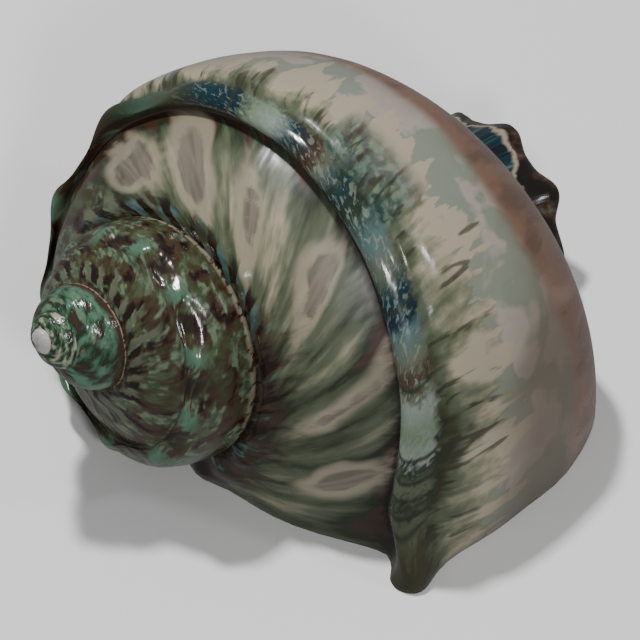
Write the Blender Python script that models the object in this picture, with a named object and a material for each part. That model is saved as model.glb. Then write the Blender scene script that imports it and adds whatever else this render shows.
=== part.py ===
"""Green turban sea shell, one solid, lying on its aperture. Metres, +Z up.

The shell is built the way it grew. One outline, drawn in a half plane through the coiling axis, turns about the
axis and grows as it turns. In this shell's own frame the axis runs down from the apex, a point is given by its
radius, its growth angle and its reach below the apex, and the growth angle increases towards the aperture.
"""

from math import pi, radians, tau

import bpy
import numpy as np
from mathutils import Matrix

# Growth of radius and of reach, as powers of e for each turn, turn squared and turn cubed
RADIAL_GROWTH = (0.883, 0.090, -0.0097)
AXIAL_GROWTH = (0.962, -0.0345, 0.0216)
EARLIEST_MEASURED_TURN = -2.0
APEX_GROWTH = 0.9
APEX_REACH = -0.0032
LIP_ANGLE = radians(118)

# The outline at growth angle zero, as radius and reach, from the suture over the keel and the base to the axis
OUTLINE = (
    (0.0327, 0.0428),
    (0.0373, 0.0421),
    (0.0424, 0.0462),
    (0.0527, 0.0524),
    (0.0637, 0.0626),
    (0.0670, 0.0621),
    (0.0707, 0.0629),
    (0.0743, 0.0662),
    (0.0767, 0.0729),
    (0.0778, 0.0851),
    (0.0776, 0.0980),
    (0.0745, 0.1142),
    (0.0621, 0.1307),
    (0.0446, 0.1358),
    (0.0262, 0.1290),
    (0.0283, 0.1428),
    (0.0150, 0.1452),
    (0.0000, 0.1420),
)
CROWN, KEEL, FOOT, PERIPHERY, LOWER_SUTURE, CHANNEL, NECK, RIDGE, AXIS = 1, 6, 8, 10, 11, 13, 14, 15, 17

# Early whorls are plain arches from suture to suture, this deep for their width
ARCH_DEPTH = 0.14
ARCHED_UNTIL, OPEN_FROM = radians(-500), radians(-250)

# From here to the lip, the last whorl no longer bends to meet the suture of a next one
FREE_FROM, FREE_AT = LIP_ANGLE - tau, LIP_ANGLE - tau + radians(80)

# Keel nodules start on the early whorls and fade on the back of the last one, which ends in a knob at the lip
NODULE_SPACING, NODULE_PHASE = radians(33.1), radians(0.3)
NODULE_HEIGHT = 0.0058
NODULES_START, NODULES_FULL = radians(-640), radians(-480)
NODULES_FADE, NODULES_FADED = radians(-95), radians(-55)
FADED_NODULES = 0.25
EARLY_NODULES_SINK, LAST_NODULES_SINK = 0.3, 0.58
SINK_START, SINK_FULL = radians(-290), radians(-220)
LIP_KNOB_HEIGHT = (0.0090, 0.0020)
LIP_KNOB_START, LIP_KNOB_FULL = radians(59), radians(71)
LIP_KNOB_PLACE, LIP_KNOB_WIDTH, LIP_KNOB_BLUNTNESS = 5.85, 2.1, 4
KEEL_WIDTH = 1.2

# The flank draws in towards the lip, and under the keel on the side away from it
LIP_TIGHTENING, LIP_TIGHTENING_WIDTH = 0.0035, 1.5
LIP_TIGHTENING_START, LIP_TIGHTENING_FULL = radians(15), radians(60)
FAR_TIGHTENING, FAR_TIGHTENING_WIDTH = 0.0050, 2.0
FAR_START, FAR_FULL, FAR_FADE, FAR_END = radians(-260), radians(-190), radians(-120), radians(-92)

# The keel of the last whorls carries a rounded cord between two grooves
CORD_HEIGHT, CORD_SINK, CORD_PLACE, CORD_WIDTHS = 0.0030, 0.4, 5.75, (1.40, 1.65)
CORD_WIDENING = radians(-60), radians(45)
CORD_ROUNDNESS, CORD_REACH = 0.8, 3.0
INNER_GROOVE, OUTER_GROOVE = 0.0015, 0.0009
GROOVE_GAP, GROOVE_WIDTH = 0.1, 0.45
CORD_START, CORD_FULL = radians(-300), radians(-150)

# The ways that the cord and the groove outside it face, in radius and reach
CORD_FACING = (0.49, -0.87)
OUTER_GROOVE_FACING = (-0.8, 0.4)

# Short pleats hang from the suture
PLEAT_SPACING, PLEAT_HEIGHT, PLEAT_WIDTH = radians(14.5), 0.0012, 0.8
PLEAT_SLANT = radians(4)

# The neck between the base and the pillar fills up towards the lip
NECK_FILLING, NECK_WIDTH = (0.0095, 0.0105), 0.75
NECK_FILLING_START, NECK_FILLED = radians(-10), radians(60)

# The thick pillar around the axis: from its rise on, it has the size that the shell has at the pillar's angle
PILLAR_ANGLE = radians(47)
PILLAR_RISE_START, PILLAR_RISE_END = radians(-205), radians(-92)
PILLAR_SHIFT = 0.0055
PILLAR_SHIFT_ANGLE = radians(170)
RIDGE_NODULE_SPACING, RIDGE_NODULE_PHASE = radians(40), radians(-10)
RIDGE_NODULE_HEIGHT, RIDGE_WIDTH = 0.0038, 0.5
RIDGE_FADE, RIDGE_FADED = radians(0), radians(25)

# The hollow: an oval in the half plane, swept back from the lip. It flares at the mouth, so that the lip is thin
HOLLOW_CENTRE = (0.0397, 0.0918)
HOLLOW_RADII = (0.0306, 0.0366)
HOLLOW_TURN = radians(235)
HOLLOW_END = radians(12)
FLARE, MOST_FLARED_WALL = 0.62, 0.25
FLARE_DEPTH = radians(30)
LIP_LEAD = radians(25)

# How the shell lies: the back faces up, the axis slopes down from the apex, and the lowest place is worn flat
BACK_ANGLE = radians(-41.8)
AXIS_SLOPE = radians(21.6)
AXIS_HEADING = radians(36.2)
APEX_PLANE_HEIGHT = 0.0638
CENTRING = (-0.0741, -0.0382)

# Rows of points along the growth and columns along the outline, by their places on it
ROWS_PER_TURN = 52
TURNS = 4.7
SPIRE_COLUMNS = (0, 0.6, 1.2, 2, 3, 3.7, 4.2, 4.9, 5.8, 6.7, 7.3, 8.2, 9.6, 11)
BASE_COLUMNS = (11.7, 12.4, 13, 13.5, 14, 14.5, 14.8, 15.2, 16, 17)
ROWS_PER_AXIS_POINT = 3
BENT_ROWS_START = radians(-30)
CALLUS_ANGLE, CALLUS_FADE = radians(35), radians(70)
RIM_STEPS = 2
HOLLOW_ROWS, HOLLOW_ROW_CROWDING = 20, 1.5
EARLIEST_LIP = radians(20)
LIP_SEARCH_STEPS = 40

COLOUR = (0.20, 0.24, 0.16, 1.0)
ROUGHNESS = 0.25


def smooth(low, high, value):
    """Zero below low, one above high and a soft step between them."""
    part = np.clip((value - low) / (high - low), 0.0, 1.0)
    return part * part * (3 - 2 * part)


def bump(place, middle, width):
    return np.exp(-(((place - middle) / width) ** 2))


def wave(angle, spacing, phase=0.0):
    """A train of rounded crests, level on average. The crests stand about as high as the valleys are deep."""
    crest = 0.5 + 0.5 * np.cos(tau * (angle - phase) / spacing)
    return crest**1.5 - 0.42


def along_curve(points, places):
    """Points on a smooth curve through the given ones. Place 2.5 is half way from the third to the fourth."""
    points = np.asarray(points, float)
    padded = np.vstack([2 * points[0] - points[1], points, 2 * points[-1] - points[-2]])
    start = np.clip(np.floor(places).astype(int), 0, len(points) - 2)
    t = (places - start)[..., None]
    before, here, there, after = (padded[start + step] for step in range(4))
    bend = 2 * before - 5 * here + 4 * there - after
    twist = 3 * here - before - 3 * there + after
    return here + 0.5 * t * (there - before + t * (bend + t * twist))


def growth(angle):
    """Scales of radius and reach at a growth angle, and the shrinking that takes both to the apex."""
    turn = np.maximum(angle / tau, EARLIEST_MEASURED_TURN)
    laws = (RADIAL_GROWTH, AXIAL_GROWTH)
    radial, axial = (np.exp(law[0] * turn + law[1] * turn**2 + law[2] * turn**3) for law in laws)
    shrink = np.exp(APEX_GROWTH * np.minimum(angle / tau - EARLIEST_MEASURED_TURN, 0.0))
    return radial, axial, shrink


def grown(angle, radius, reach):
    """A point of the outline, as radius and reach, grown to this angle."""
    radial, axial, shrink = growth(angle)
    return np.stack(
        np.broadcast_arrays(radius * radial * shrink, APEX_REACH + (reach * axial - APEX_REACH) * shrink), axis=-1
    )


def keel_relief(angle, place):
    strength = 1 - (1 - FADED_NODULES) * smooth(NODULES_FADE, NODULES_FADED, angle)
    strength = strength * smooth(NODULES_START, NODULES_FULL, angle)
    sunk = smooth(SINK_START, SINK_FULL, angle)
    sink = EARLY_NODULES_SINK + (LAST_NODULES_SINK - EARLY_NODULES_SINK) * sunk
    nodules = NODULE_HEIGHT * strength * (wave(angle, NODULE_SPACING, NODULE_PHASE) - sink)
    knob = smooth(LIP_KNOB_START, LIP_KNOB_FULL, angle)
    nodules = nodules * bump(place, KEEL + 0.2, KEEL_WIDTH)
    knob = knob * np.exp(-(((place - LIP_KNOB_PLACE) / LIP_KNOB_WIDTH) ** LIP_KNOB_BLUNTNESS))
    return nodules + LIP_KNOB_HEIGHT[0] * knob, LIP_KNOB_HEIGHT[1] * knob


def flank_relief(angle, place):
    at_lip = LIP_TIGHTENING * smooth(LIP_TIGHTENING_START, LIP_TIGHTENING_FULL, angle)
    far = FAR_TIGHTENING * smooth(FAR_START, FAR_FULL, angle) * (1 - smooth(FAR_FADE, FAR_END, angle))
    depth = at_lip * bump(place, PERIPHERY + 0.7, LIP_TIGHTENING_WIDTH)
    depth = depth + far * bump(place, FOOT - 0.2, FAR_TIGHTENING_WIDTH)
    return -depth, 0 * depth


def pleat_relief(angle, place):
    slanted = wave(angle + PLEAT_SLANT * place, PLEAT_SPACING)
    strength = 0.75 + 0.25 * np.sin(2.3 * angle + 1.0)
    height = PLEAT_HEIGHT * strength * slanted * bump(place, CROWN + 0.2, PLEAT_WIDTH) * smooth(0.0, 0.5, place)
    return 0.25 * height, -height


def neck_relief(angle, place):
    filled = smooth(NECK_FILLING_START, NECK_FILLED, angle) * bump(place, NECK, NECK_WIDTH)
    return NECK_FILLING[0] * filled, NECK_FILLING[1] * filled


def ridge_relief(angle, place):
    nodules = wave(angle, RIDGE_NODULE_SPACING, RIDGE_NODULE_PHASE) + 0.15
    strength = 1 - smooth(RIDGE_FADE, RIDGE_FADED, angle)
    height = RIDGE_NODULE_HEIGHT * strength * nodules * bump(place, RIDGE, RIDGE_WIDTH)
    return 0.8 * height, 0.6 * height


def cord_relief(angle, place):
    """A rounded cord along the keel of the last whorls, with a groove on either side."""
    raised = smooth(CORD_START, CORD_FULL, angle)
    width = CORD_WIDTHS[0] + (CORD_WIDTHS[1] - CORD_WIDTHS[0]) * smooth(*CORD_WIDENING, angle)
    dome = np.clip(1 - ((place - CORD_PLACE) / width) ** 2, 0.0, 1.0) ** CORD_ROUNDNESS
    cord = CORD_HEIGHT * (dome - CORD_SINK) * raised * bump(place, CORD_PLACE, CORD_REACH)
    inner = INNER_GROOVE * raised * bump(place, CORD_PLACE - width - GROOVE_GAP, GROOVE_WIDTH)
    outer = OUTER_GROOVE * raised * bump(place, CORD_PLACE + width + GROOVE_GAP, GROOVE_WIDTH)
    outwards = CORD_FACING[0] * cord + OUTER_GROOVE_FACING[0] * outer
    return outwards, inner + CORD_FACING[1] * cord + OUTER_GROOVE_FACING[1] * outer


RELIEFS = (keel_relief, flank_relief, pleat_relief, neck_relief, ridge_relief, cord_relief)


def section(angle, place):
    """Radius and reach of the shell's outside at a growth angle and a place along the outline."""
    angle, place = np.broadcast_arrays(np.asarray(angle, float), np.asarray(place, float))
    outline = along_curve(OUTLINE, place)
    points = grown_now = grown(angle, outline[..., 0], outline[..., 1])
    upper = grown(angle, *OUTLINE[0])
    lower = grown(angle + tau, *OUTLINE[0])
    # The last whorls keep the whole outline, and each runs into the suture of the next one
    pull = smooth(KEEL + 1, LOWER_SUTURE, place) * (1 - smooth(LOWER_SUTURE + 0.5, RIDGE, place))
    pull = pull * (1 - smooth(FREE_FROM, FREE_AT, angle))
    points = points + pull[..., None] * (lower - grown(angle, *OUTLINE[LOWER_SUTURE]))
    # The early whorls are arches
    part = np.minimum(place / LOWER_SUTURE, 1.0)[..., None]
    out = np.stack([lower[..., 1] - upper[..., 1], upper[..., 0] - lower[..., 0]], axis=-1)
    arch = upper + part * (lower - upper) + ARCH_DEPTH * np.sin(pi * part) * out
    points = arch + smooth(ARCHED_UNTIL, OPEN_FROM, angle)[..., None] * (points - arch)
    # The pillar around the axis
    frozen = grown(np.maximum(angle, PILLAR_ANGLE), outline[..., 0], outline[..., 1])
    rise = smooth(PILLAR_RISE_START, PILLAR_RISE_END, angle) * smooth(CHANNEL, RIDGE, place)
    points = points + rise[..., None] * (frozen - grown_now)
    relief = sum(np.stack(each(angle, place), axis=-1) for each in RELIEFS)
    radial, _, shrink = growth(angle)
    return points + relief * (radial * shrink)[..., None]


def lying_pose():
    """The turn from the shell's own frame, with reach along +Z, to the way it lies."""
    turned = (
        Matrix.Rotation(AXIS_HEADING, 3, "Z")
        @ Matrix.Rotation(pi / 2 + AXIS_SLOPE, 3, "Y")
        @ Matrix.Rotation(pi - BACK_ANGLE, 3, "Z")
    )
    return np.array(turned)


POSE = lying_pose()
APEX_PLACE = np.array([*CENTRING, APEX_PLANE_HEIGHT])


def placed(section_points, angle, on_axis=0.0):
    """World points of points of the section. Those on the axis move aside by the pillar's shift."""
    radius, reach = section_points[..., 0], section_points[..., 1]
    x = radius * np.cos(angle) + on_axis * PILLAR_SHIFT * np.cos(PILLAR_SHIFT_ANGLE)
    y = radius * np.sin(angle) + on_axis * PILLAR_SHIFT * np.sin(PILLAR_SHIFT_ANGLE)
    return np.stack([x, y, reach], axis=-1) @ POSE.T + APEX_PLACE


def outside(angle, place):
    """World points of the shell's outside."""
    return placed(section(angle, place), angle, smooth(RIDGE + 0.5, AXIS, place))


def inside(angle, direction, flare=1.0):
    """World points of the hollow's wall, in a direction seen from its centre."""
    radius = HOLLOW_CENTRE[0] + flare * HOLLOW_RADII[0] * np.cos(direction)
    reach = HOLLOW_CENTRE[1] + flare * HOLLOW_RADII[1] * np.sin(direction)
    return placed(grown(angle, radius, reach), angle)


def around_hollow(points, angles):
    """Where points lie around the hollow's centre: the direction, and the distance as a multiple of the oval."""
    own = (points - APEX_PLACE) @ POSE
    radial, axial, _ = growth(angles)
    across = (np.hypot(own[:, 0], own[:, 1]) / radial - HOLLOW_CENTRE[0]) / HOLLOW_RADII[0]
    down = (own[:, 2] / axial - HOLLOW_CENTRE[1]) / HOLLOW_RADII[1]
    return np.unwrap(np.arctan2(down, across)), np.hypot(across, down)


def first_below_ground(points_at, others):
    """For each of the others, the growth angle where points_at first reaches the ground, or the lip's angle."""
    tried = np.linspace(EARLIEST_LIP, LIP_ANGLE, LIP_SEARCH_STEPS)
    height = points_at(tried[:, None], others[None, :])[..., 2]
    found = np.full(len(others), LIP_ANGLE)
    for k in range(len(others)):
        below = np.nonzero(height[:, k] < 0)[0]
        if len(below) and below[0]:
            i = below[0]
            part = height[i - 1, k] / (height[i - 1, k] - height[i, k])
            found[k] = tried[i - 1] + part * (tried[i] - tried[i - 1])
    return found


class Skin:
    """The points and faces of the solid."""

    def __init__(self):
        self.points = []
        self.faces = []

    def add(self, points):
        start = len(self.points)
        self.points.extend(map(tuple, np.atleast_2d(points)))
        return list(range(start, len(self.points)))

    def strip(self, first, second, closed=False):
        """Faces between two rows of points. A point that both rows share, or that repeats, makes a triangle."""
        count = len(first) if closed else len(first) - 1
        for k in range(count):
            after = (k + 1) % len(first)
            corners = [first[k], second[k], second[after], first[after]]
            corners = [c for n, c in enumerate(corners) if c not in corners[:n]]
            if len(corners) > 2:
                self.faces.append(corners)

    def fan(self, ring, tip):
        for k in range(len(ring)):
            self.faces.append([ring[k], tip, ring[(k + 1) % len(ring)]])


def lip_line(columns):
    """The growth angle at which each column ends, and whether it ends on the ground."""
    lip = first_below_ground(outside, columns)
    lip[0] = LIP_ANGLE
    resting = (lip < LIP_ANGLE) & (columns <= RIDGE)
    return np.where(columns > RIDGE, lip[columns <= RIDGE][-1], lip), resting


def row_angles(row_angle, columns, lip):
    """Growth angles along one row. The rows bend to the lip's shape at one end and to the callus at the other."""
    angles = np.full(len(columns), row_angle)
    if row_angle > BENT_ROWS_START:
        bend = (lip - BENT_ROWS_START) / (LIP_ANGLE - BENT_ROWS_START)
        angles = BENT_ROWS_START + (row_angle - BENT_ROWS_START) * bend
    past_callus = (row_angle - (LIP_ANGLE - tau)) / CALLUS_FADE
    if -1e-6 < past_callus < 1:
        angles = angles + CALLUS_ANGLE * (1 - past_callus) * smooth(LOWER_SUTURE, CHANNEL, columns)
    return angles


def grow_outside(skin):
    """The outside, row by row. It returns the ring where it ends, around the mouth, and the ring's growth angles."""
    columns = np.array(SPIRE_COLUMNS + BASE_COLUMNS, float)
    spire = len(SPIRE_COLUMNS)
    lip, resting = lip_line(columns)
    count = int(TURNS * ROWS_PER_TURN)
    last_whorl = count - ROWS_PER_TURN
    sutures, rows = [], []
    for i in range(count + 1):
        row_angle = LIP_ANGLE - tau * (count - i) / ROWS_PER_TURN
        angles = row_angles(row_angle, columns, lip)
        points = outside(angles, columns)
        points[:, 2] = np.maximum(points[:, 2], 0.0)
        if i == count:
            points[resting, 2] = 0.0
        if i < last_whorl:
            row = skin.add(points[: spire - 1])
        else:
            row = skin.add(points[:-1])
            if (i - last_whorl) % ROWS_PER_AXIS_POINT == 0 or i == count:
                axis_point = skin.add(points[-1])[0]
            row.append(axis_point)
        sutures.append(row[0])
        rows.append(row)
    # A whorl's lower edge is the suture of the whorl that follows it
    for i in range(last_whorl):
        rows[i].append(sutures[i + ROWS_PER_TURN])
    rows[last_whorl][spire - 1] = sutures[count]
    for i in range(count):
        shared = min(len(rows[i]), len(rows[i + 1]))
        skin.strip(rows[i][:shared], rows[i + 1][:shared])
    tip = skin.add(placed(np.array([0.0, APEX_REACH]), 0.0))[0]
    skin.fan(sutures[: ROWS_PER_TURN + 1] + rows[0][-2:0:-1], tip)
    last_row, first_row = rows[count], rows[last_whorl][spire:-1][::-1]
    axis_row = [row[-1] for row in rows[last_whorl:count][::-1]]
    axis_row = [point for point in dict.fromkeys(axis_row) if point != last_row[-1]]
    ring = last_row + axis_row + first_row
    ring_angles = np.full(len(ring), LIP_ANGLE)
    ring_angles[: len(columns)] = angles
    return ring, ring_angles


def carve_hollow(skin, ring, angles):
    """The lip, the callus and the hollow's wall, from the outside's last ring inwards."""
    start = np.array([skin.points[k] for k in ring])
    direction, distance = around_hollow(start, angles)
    flare = FLARE * np.clip(distance - 1, 0.0, MOST_FLARED_WALL)

    def mouth_at(angle, k):
        return inside(angle, direction[k], 1 + flare[k])

    mouth = first_below_ground(mouth_at, np.arange(len(ring)))
    end = inside(mouth, direction, 1 + flare)
    end[mouth < LIP_ANGLE, 2] = 0.0
    previous = ring
    for step in range(1, RIM_STEPS + 1):
        row = skin.add(start + step / RIM_STEPS * (end - start))
        skin.strip(previous, row, closed=True)
        previous = row
    for step in range(1, HOLLOW_ROWS + 1):
        depth = (step / HOLLOW_ROWS) ** HOLLOW_ROW_CROWDING
        back = HOLLOW_TURN * depth
        even = LIP_ANGLE - LIP_LEAD - back
        angle = mouth - back
        angle = angle + (even - angle) * smooth(0.0, 0.6, depth)
        row = skin.add(inside(angle, direction, 1 + flare * (1 - smooth(0.0, FLARE_DEPTH, back))))
        skin.strip(previous, row, closed=True)
        previous = row
    end_angle = even - HOLLOW_END
    tip = skin.add(placed(grown(end_angle, *HOLLOW_CENTRE), end_angle))[0]
    skin.fan(previous, tip)


def shell_material():
    material = bpy.data.materials.new("green shell")
    material.use_nodes = True
    shader = material.node_tree.nodes["Principled BSDF"]
    shader.inputs["Base Color"].default_value = COLOUR
    shader.inputs["Roughness"].default_value = ROUGHNESS
    shader.inputs["Metallic"].default_value = 0.0
    return material


def make_shell(collection):
    skin = Skin()
    carve_hollow(skin, *grow_outside(skin))
    mesh = bpy.data.meshes.new("shell")
    mesh.from_pydata(skin.points, [], skin.faces)
    mesh.validate()
    mesh.materials.append(shell_material())
    mesh.shade_smooth()
    shell = bpy.data.objects.new("shell", mesh)
    collection.objects.link(shell)
    return shell


def main():
    for old in list(bpy.data.objects):
        bpy.data.objects.remove(old)
    collection = bpy.data.collections.new("green turban shell")
    bpy.context.scene.collection.children.link(collection)
    make_shell(collection)


main()
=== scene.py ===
from math import cos, degrees, pi, radians, sin, tau

import bpy
import numpy as np
from mathutils import Matrix, Vector


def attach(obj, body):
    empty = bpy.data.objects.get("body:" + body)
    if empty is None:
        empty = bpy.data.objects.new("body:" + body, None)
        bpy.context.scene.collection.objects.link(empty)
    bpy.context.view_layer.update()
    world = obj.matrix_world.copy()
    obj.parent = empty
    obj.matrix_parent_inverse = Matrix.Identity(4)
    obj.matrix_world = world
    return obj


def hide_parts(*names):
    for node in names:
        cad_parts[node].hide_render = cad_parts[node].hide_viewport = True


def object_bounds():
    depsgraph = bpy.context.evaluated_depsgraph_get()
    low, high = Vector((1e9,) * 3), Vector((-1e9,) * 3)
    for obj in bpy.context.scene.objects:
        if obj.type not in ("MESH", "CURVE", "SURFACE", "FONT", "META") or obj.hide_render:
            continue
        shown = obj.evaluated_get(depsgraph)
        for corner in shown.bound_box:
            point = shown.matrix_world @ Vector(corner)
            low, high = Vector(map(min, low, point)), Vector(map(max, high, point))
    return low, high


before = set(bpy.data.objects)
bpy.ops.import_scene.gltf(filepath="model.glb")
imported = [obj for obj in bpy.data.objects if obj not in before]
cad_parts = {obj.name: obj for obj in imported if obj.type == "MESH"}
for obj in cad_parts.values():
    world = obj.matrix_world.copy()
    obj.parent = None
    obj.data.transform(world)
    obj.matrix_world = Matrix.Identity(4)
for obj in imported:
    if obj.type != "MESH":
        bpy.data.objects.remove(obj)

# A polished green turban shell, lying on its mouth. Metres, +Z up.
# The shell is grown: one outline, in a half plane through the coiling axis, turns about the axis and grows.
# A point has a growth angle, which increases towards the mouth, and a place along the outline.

CAD_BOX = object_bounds()

# Growth of radius and of reach, as powers of e for each turn, turn squared and turn cubed
RADIAL_GROWTH = (0.883, 0.090, -0.0097)
AXIAL_GROWTH = (0.962, -0.0345, 0.0216)
FIRST_MEASURED_TURN = -2.0
APEX_GROWTH = 0.9
APEX_REACH = -0.0032
LIP_ANGLE = radians(118)

# The outline at growth angle zero, as radius and reach: from the suture over the keel and base to the axis
OUTLINE = (
    (0.0327, 0.0428), (0.0373, 0.0421), (0.0424, 0.0462),
    (0.0527, 0.0524), (0.0637, 0.0626), (0.0670, 0.0621),
    (0.0707, 0.0629), (0.0743, 0.0662), (0.0767, 0.0729),
    (0.0778, 0.0851), (0.0776, 0.0980), (0.0745, 0.1142),
    (0.0621, 0.1307), (0.0446, 0.1358), (0.0262, 0.1290),
    (0.0283, 0.1428), (0.0150, 0.1452), (0.0000, 0.1420),
)
CROWN, KEEL, FOOT, PERIPHERY, LOWER_SUTURE, CHANNEL, NECK, RIDGE, AXIS = 1, 6, 8, 10, 11, 13, 14, 15, 17

# Early whorls are plain arches from suture to suture, this deep for their width
ARCH_DEPTH = 0.14
ARCHES_OPEN = radians(-500), radians(-250)

# Between these places the last whorls bend to meet the suture of the next one
PULL_START, PULL_END = KEEL + 1, LOWER_SUTURE + 0.5

# From here to the lip, the last whorl no longer bends to meet the suture of a next one
FREEING = LIP_ANGLE - tau, LIP_ANGLE - tau + radians(80)

# Keel nodules start on the early whorls and fade on the back of the last one, which ends in a knob at the lip
NODULE_SPACING, NODULE_PHASE = radians(33.1), radians(0.3)
NODULE_HEIGHT = 0.0058
NODULES_RISE = radians(-640), radians(-480)
NODULES_FALL = radians(-95), radians(-55)
FADED_NODULES = 0.25
EARLY_NODULES_SINK, LAST_NODULES_SINK = 0.3, 0.58
SINKING = radians(-290), radians(-220)
LIP_KNOB_HEIGHT = (0.0090, 0.0020)
LIP_KNOB_RISE = radians(59), radians(71)
LIP_KNOB_PLACE, LIP_KNOB_WIDTH, LIP_KNOB_BLUNTNESS = 5.85, 2.1, 4
NODULE_PLACE, NODULE_WIDTH = KEEL + 0.2, 1.2

# How narrow the crests of a train of nodules are, and its mean level
CREST_SHARPNESS, CREST_LEVEL = 1.5, 0.42

# The flank draws in towards the lip, and under the keel on the side away from it
LIP_WAIST, LIP_WAIST_PLACE, LIP_WAIST_WIDTH = 0.0035, PERIPHERY + 0.7, 1.5
LIP_WAIST_RISE = radians(15), radians(60)
FAR_WAIST, FAR_WAIST_PLACE, FAR_WAIST_WIDTH = 0.0050, FOOT - 0.2, 2.0
FAR_RISE, FAR_FALL = (radians(-260), radians(-190)), (radians(-120), radians(-92))

# The keel of the last whorls carries a rounded cord between two grooves
CORD_HEIGHT, CORD_SINK, CORD_PLACE, CORD_WIDTHS = 0.0030, 0.4, 5.75, (1.40, 1.65)
CORD_WIDENING = radians(-60), radians(45)
CORD_ROUNDNESS, CORD_REACH = 0.8, 3.0
INNER_GROOVE, OUTER_GROOVE = 0.0015, 0.0009
GROOVE_GAP, GROOVE_WIDTH = 0.1, 0.45
CORD_RISE = radians(-300), radians(-150)

# Which way they face, in radius and reach
CORD_FACING = (0.49, -0.87)
OUTER_GROOVE_FACING = (-0.8, 0.4)

# Short pleats hang from the suture. Their height changes slowly along the whorl
PLEAT_SPACING, PLEAT_HEIGHT, PLEAT_PLACE, PLEAT_WIDTH = radians(14.5), 0.0012, CROWN + 0.2, 0.8
PLEAT_SLANT = radians(4)
PLEAT_RISE = 0.0, 0.5
PLEAT_MEAN, PLEAT_CHANGE, PLEAT_CHANGES, PLEAT_CHANGE_PHASE = 0.75, 0.25, 2.3, 1.0
PLEAT_OUTWARDS = 0.25

# The neck between the base and the pillar fills up towards the lip
NECK_FILLING, NECK_WIDTH = (0.0095, 0.0105), 0.75
NECK_RISE = radians(-10), radians(60)

# The thick pillar around the axis: from its rise on, it has the size that the shell has at the pillar's angle
PILLAR_ANGLE = radians(47)
PILLAR_RISE = radians(-205), radians(-92)
PILLAR_SHIFT = 0.0055
PILLAR_SHIFT_ANGLE, PILLAR_SHIFT_START = radians(170), RIDGE + 0.5
RIDGE_NODULE_SPACING, RIDGE_NODULE_PHASE = radians(40), radians(-10)
RIDGE_NODULE_HEIGHT, RIDGE_NODULE_LIFT, RIDGE_WIDTH = 0.0038, 0.15, 0.5
RIDGE_FACING = (0.8, 0.6)
RIDGE_FALL = radians(0), radians(25)

# The hollow: an oval in the half plane, swept back from the lip. It flares at the mouth
HOLLOW_CENTRE = (0.0397, 0.0918)
HOLLOW_RADII = (0.0306, 0.0366)
HOLLOW_TURN = radians(235)
HOLLOW_END = radians(12)
FLARE, MOST_FLARED_WALL = 0.62, 0.25
FLARE_DEPTH = radians(30)
LIP_LEAD = radians(25)
EVEN_FROM_DEPTH = 0.6

# How the shell lies: the back faces up, and the axis slopes down from the apex
BACK_ANGLE = radians(-41.8)
AXIS_SLOPE = radians(21.6)
AXIS_HEADING = radians(36.2)
APEX_PLANE_HEIGHT = 0.0638
CENTRING = (-0.0741, -0.0382)

# Rows of points along the growth, and columns along the outline down to the lower suture and on to the axis
ROWS_PER_TURN = 260
TURNS = 4.7
COLUMN_GROUPS = ((0.0, 3.6, 14), (3.6, 8.0, 28), (8.0, 11.0, 12))
SPIRE_COLUMNS = 52
BASE_COLUMNS = 38
ROWS_PER_AXIS_POINT = 4
BENT_ROWS_START = radians(-30)
CALLUS_ANGLE, CALLUS_FADE = radians(35), radians(70)
ROUNDING = 1e-6
RIM_STEPS = 6
HOLLOW_ROWS, HOLLOW_ROW_CROWDING = 56, 1.5
EARLIEST_LIP = radians(20)
LIP_SEARCH_STEPS = 240

# The view: the photograph's axis of view slopes down by this, and this much is seen across its 640 pixels
VIEW_SLOPE = radians(50.34)
VIEW_WIDTH = 0.1728
VIEW_DISTANCE, VIEW_END = 3.5, 20.0
VIEW_RIGHT_OF_APEX, VIEW_ABOVE_APEX = 0.0753, 0.0049
SENSOR_WIDTH = 36.0

# Growth lines: how far round the lip lies, in degrees, at places along the outline
GROWTH_LINE = (
    (0.0, 118.0), (1.0, 110.0), (3.0, 97.0), (4.0, 90.0),
    (5.0, 82.0), (6.0, 76.0), (7.0, 71.0), (8.0, 68.0),
    (9.0, 65.0), (10.0, 62.0), (11.0, 60.0), (13.0, 58.0),
    (17.0, 58.0),
)

# How far the streaks between suture and keel slant from the growth lines, in turns for each place
RAMP_SLANT = 0.025

# Windows of bare nacre between suture and keel: line and place of the middle, half length and width, slant
WINDOWS = (
    (-0.186, 2.45, 0.016, 0.50, -0.015),
    (-0.158, 2.75, 0.015, 0.60, -0.015),
    (-0.094, 2.75, 0.016, 0.70, -0.020),
    (-0.014, 2.75, 0.013, 0.75, -0.025),
    (0.066, 3.25, 0.012, 0.36, -0.010),
    (0.080, 3.00, 0.008, 0.46, -0.030),
    (0.166, 3.40, 0.009, 0.42, -0.025),
    (0.180, 2.85, 0.007, 0.45, -0.025),
    (0.236, 3.30, 0.010, 0.45, -0.025),
)
FAR_FROM_WINDOWS = -9.0

# Growth rests: dark lines across the keel's cord that sag towards the lip, in turns
GROWTH_RESTS = (-0.034, 0.066, 0.150, 0.196, 0.241, 0.256, 0.268, 0.279, 0.288)
REST_SAG, REST_WIDTH, REST_STRENGTH = 0.0055, 0.0028, 0.85

# On the cord's middle the growth line is this many turns ahead of the growth angle
CORD_MIDDLE_GROWTH_LINE = 77.5
CORD_LINE = (degrees(LIP_ANGLE) - CORD_MIDDLE_GROWTH_LINE) / 360

# Bars across the suture's pleats, in turns
BAR_SPACING, BAR_PHASE = radians(14.5) / tau, 0.010
EARLY_BAR_SPACING = radians(16.55) / tau

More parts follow.
